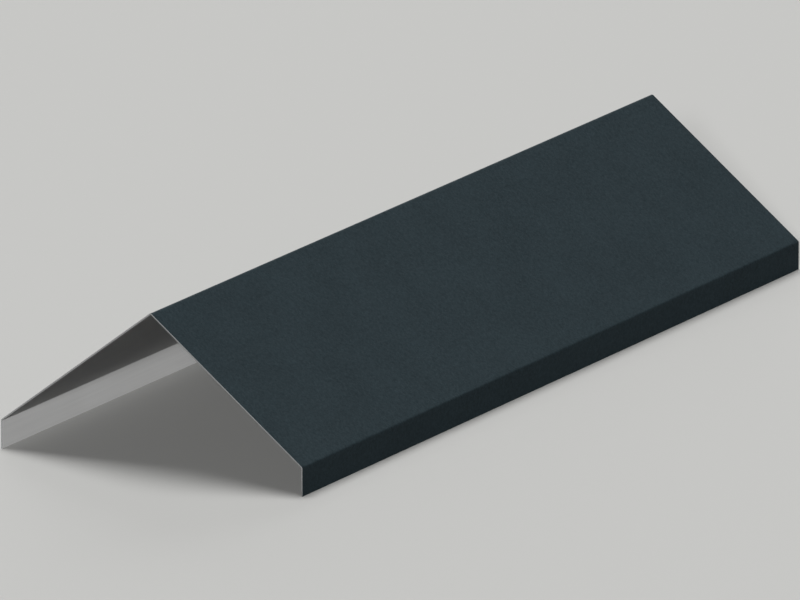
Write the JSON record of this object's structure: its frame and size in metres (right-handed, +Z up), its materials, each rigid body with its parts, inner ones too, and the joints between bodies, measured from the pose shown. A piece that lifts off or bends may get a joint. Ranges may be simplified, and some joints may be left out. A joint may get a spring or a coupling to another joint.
{
  "type": "roof ridge cap",
  "caption": "Folded sheet metal ridge cap: a wide upside-down V with an upright lip down each eave edge, laid over a roof's ridge to shed rain to both slopes.",
  "frame": {"origin": "on the floor under the middle of the cap, midway between the lips and midway along the ridge", "axes": "+Z up, +Y along the ridge, +X across the ridge towards the right wing"},
  "size_m": [0.349, 1, 0.1631],
  "materials": {
    "coated_sheet": "matte"
  },
  "bodies": {
    "root": {"ridge_cap": "coated_sheet"}
  },
  "joints": []
}
